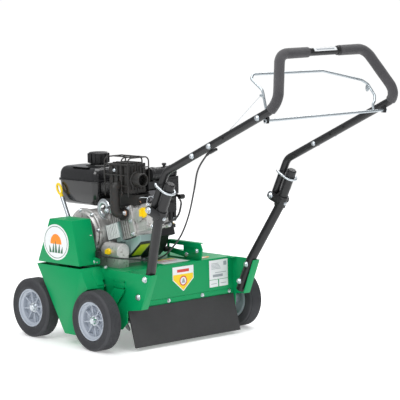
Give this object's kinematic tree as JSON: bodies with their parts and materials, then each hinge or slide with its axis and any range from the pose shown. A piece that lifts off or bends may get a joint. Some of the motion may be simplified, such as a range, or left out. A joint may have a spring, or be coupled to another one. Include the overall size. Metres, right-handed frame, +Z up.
{
  "type": "lawn dethatcher",
  "caption": "Walk-behind power rake: steel deck on four wheels, engine and belt-driven flail reel, rear rubber flap, folding tube handle with clutch bail.",
  "frame": {"origin": "on the ground under the middle of the whole machine", "axes": "+Z up, +Y rearward towards the operator, +X the left side with the belt guard"},
  "size_m": [0.696, 1.236, 1.0355],
  "materials": {
    "green_paint": "glossy powder coat",
    "tyre_rubber": "ribbed solid rubber",
    "flap_rubber": "matt sheet rubber",
    "rim_plastic": "satin",
    "black_steel": "satin powder coat",
    "black_plastic": "satin moulded",
    "foam": "closed-cell foam",
    "zinc": "bright zinc plate",
    "cast_aluminium": "die-cast",
    "dark_steel": "bare steel",
    "yellow_plastic": "glossy"
  },
  "bodies": {
    "chassis": {"deck_housing": "green_paint", "upper_belt_guard": "green_paint", "lower_belt_guard": "green_paint", "reel_bearing_left": "dark_steel", "reel_bearing_right": "dark_steel", "front_axle": "zinc", "depth_bracket": "green_paint", "lower_handle_tube_left": "black_steel", "lower_handle_tube_right": "black_steel", "fold_bracket_left": "black_steel", "fold_bracket_right": "black_steel", "cable_anchor": "black_steel", "clutch_cable": "black_plastic", "drive_belt": "flap_rubber", "engine_crankcase": "cast_aluminium", "engine_side_cover": "cast_aluminium", "cylinder_fins": "cast_aluminium", "cylinder_head": "cast_aluminium", "cylinder_shroud": "cast_aluminium", "blower_housing": "black_plastic", "recoil_starter": "black_plastic", "fuel_tank": "black_plastic", "muffler": "black_steel", "muffler_guard": "black_steel", "exhaust_elbow": "black_steel", "air_cleaner": "black_plastic"},
    "flap": {"rear_flap": "flap_rubber"},
    "reel": {"reel_shaft": "dark_steel", "reel_pulley": "dark_steel"},
    "flails_1": {"flail_row_1": "dark_steel"},
    "flails_2": {"flail_row_2": "dark_steel"},
    "flails_3": {"flail_row_3": "dark_steel"},
    "flails_4": {"flail_row_4": "dark_steel"},
    "crank": {"engine_pulley": "dark_steel"},
    "idler": {"idler_arm": "black_steel"},
    "idler_wheel": {"idler_pulley": "dark_steel"},
    "rear_axle_carrier": {"rear_axle": "green_paint"},
    "depth_control": {"depth_lever": "green_paint"},
    "handle": {"upper_handle": "black_steel", "foam_grip_left": "foam", "foam_grip_right": "foam", "cable_clip": "black_plastic", "clutch_inner_wire": "zinc"},
    "bail": {"clutch_bail": "zinc"},
    "ring_left": {"lock_ring_left": "zinc"},
    "ring_right": {"lock_ring_right": "zinc"},
    "tank_cap": {"fuel_cap": "black_plastic"},
    "filler_cap": {"oil_filler_cap": "yellow_plastic"},
    "drain_plug": {"oil_drain_plug": "yellow_plastic"},
    "oil_dipstick": {"dipstick": "yellow_plastic"},
    "starter_grip": {"recoil_grip": "yellow_plastic"},
    "throttle": {"throttle_lever": "black_plastic"},
    "front_left_wheel": {"front_left_tyre": "tyre_rubber", "front_left_rim": "rim_plastic"},
    "front_right_wheel": {"front_right_tyre": "tyre_rubber", "front_right_rim": "rim_plastic"},
    "rear_left_wheel": {"rear_left_tyre": "tyre_rubber", "rear_left_rim": "rim_plastic"},
    "rear_right_wheel": {"rear_right_tyre": "tyre_rubber", "rear_right_rim": "rim_plastic"}
  },
  "joints": [
    {"name": "front_left_wheel_spin", "type": "hinge", "parent": "chassis", "child": "front_left_wheel", "pos_m": [0, -0.51643, 0.1016], "axis": [1, 0, 0], "continuous": true},
    {"name": "front_right_wheel_spin", "type": "hinge", "parent": "chassis", "child": "front_right_wheel", "pos_m": [0, -0.51643, 0.1016], "axis": [1, 0, 0], "continuous": true},
    {"name": "rear_axle_swing", "type": "hinge", "parent": "chassis", "child": "rear_axle_carrier", "pos_m": [0, -0.24499, 0.07603], "axis": [1, 0, 0], "range_deg": [-10, 0]},
    {"name": "rear_left_wheel_spin", "type": "hinge", "parent": "rear_axle_carrier", "child": "rear_left_wheel", "pos_m": [0, -0.18843, 0.1016], "axis": [1, 0, 0], "continuous": true},
    {"name": "rear_right_wheel_spin", "type": "hinge", "parent": "rear_axle_carrier", "child": "rear_right_wheel", "pos_m": [0, -0.18843, 0.1016], "axis": [1, 0, 0], "continuous": true},
    {"name": "depth_lever_swing", "type": "hinge", "parent": "chassis", "child": "depth_control", "pos_m": [-0.0915, -0.20968, 0.27832], "axis": [1, 0, 0], "range_deg": [-35, 0]},
    {"name": "flap_swing", "type": "hinge", "parent": "chassis", "child": "flap", "pos_m": [0, -0.12198, 0.13514], "axis": [1, 0, 0], "range_deg": [0, 40]},
    {"name": "reel_spin", "type": "hinge", "parent": "chassis", "child": "reel", "pos_m": [0, -0.29742, 0.0883], "axis": [1, 0, 0], "continuous": true},
    {"name": "flail_swing_1", "type": "hinge", "parent": "reel", "child": "flails_1", "pos_m": [0, -0.27146, 0.11605], "axis": [1, 0, 0], "range_deg": [-40, 40]},
    {"name": "flail_swing_2", "type": "hinge", "parent": "reel", "child": "flails_2", "pos_m": [0, -0.32517, 0.11427], "axis": [1, 0, 0], "range_deg": [-40, 40]},
    {"name": "flail_swing_3", "type": "hinge", "parent": "reel", "child": "flails_3", "pos_m": [0, -0.32339, 0.06056], "axis": [1, 0, 0], "range_deg": [-40, 40]},
    {"name": "flail_swing_4", "type": "hinge", "parent": "reel", "child": "flails_4", "pos_m": [0, -0.26968, 0.06234], "axis": [1, 0, 0], "range_deg": [-40, 40]},
    {"name": "crank_spin", "type": "hinge", "parent": "chassis", "child": "crank", "pos_m": [0, -0.38653, 0.3615], "axis": [1, 0, 0], "continuous": true},
    {"name": "idler_swing", "type": "hinge", "parent": "chassis", "child": "idler", "pos_m": [0, -0.2489, 0.19397], "axis": [1, 0, 0], "range_deg": [0, 7]},
    {"name": "idler_spin", "type": "hinge", "parent": "idler", "child": "idler_wheel", "pos_m": [0, -0.27215, 0.24623], "axis": [1, 0, 0], "continuous": true},
    {"name": "handle_fold", "type": "hinge", "parent": "chassis", "child": "handle", "pos_m": [0, 0.04757, 0.494], "axis": [1, 0, 0], "range_deg": [0, 115]},
    {"name": "bail_squeeze", "type": "hinge", "parent": "handle", "child": "bail", "pos_m": [0, 0.56057, 0.82], "axis": [1, 0, 0], "range_deg": [-22, 0], "stiffness_Nm_per_rad": 2, "springref_deg": 11.46},
    {"name": "lock_ring_left_slide", "type": "slide", "parent": "chassis", "child": "ring_left", "axis": [0, 0.434, 0.9009], "range_m": [-0.05, 0.02]},
    {"name": "lock_ring_right_slide", "type": "slide", "parent": "chassis", "child": "ring_right", "axis": [0, 0.434, 0.9009], "range_m": [-0.05, 0.02]},
    {"name": "fuel_cap_turn", "type": "hinge", "parent": "chassis", "child": "tank_cap", "pos_m": [0.084, -0.46019, 0.59118], "axis": [0, -0.0332, 0.9995], "range_deg": [0, 120]},
    {"name": "oil_filler_cap_turn", "type": "hinge", "parent": "chassis", "child": "filler_cap", "pos_m": [0.16, -0.13945, 0.45374], "axis": [1, 0, 0], "range_deg": [0, 180]},
    {"name": "oil_drain_plug_turn", "type": "hinge", "parent": "chassis", "child": "drain_plug", "pos_m": [0.222, -0.24495, 0.31617], "axis": [1, 0, 0], "range_deg": [0, 180]},
    {"name": "dipstick_pull", "type": "slide", "parent": "chassis", "child": "oil_dipstick", "axis": [0, -0.4741, 0.8805], "range_m": [0, 0.06]},
    {"name": "starter_pull", "type": "slide", "parent": "chassis", "child": "starter_grip", "axis": [0, 0.9995, 0.0332], "range_m": [0, 0.4], "stiffness_N_per_m": 10, "springref_m": -0.1},
    {"name": "throttle_turn", "type": "hinge", "parent": "chassis", "child": "throttle", "pos_m": [-0.079, -0.26265, 0.48767], "axis": [1, 0, 0], "range_deg": [-18, 25]}
  ],
  "couplings": [
    {"joint": "depth_lever_swing", "follows": "rear_axle_swing", "ratio": 3.5},
    {"joint": "crank_spin", "follows": "reel_spin", "ratio": 1.1842},
    {"joint": "idler_swing", "follows": "bail_squeeze", "ratio": -0.3}
  ]
}
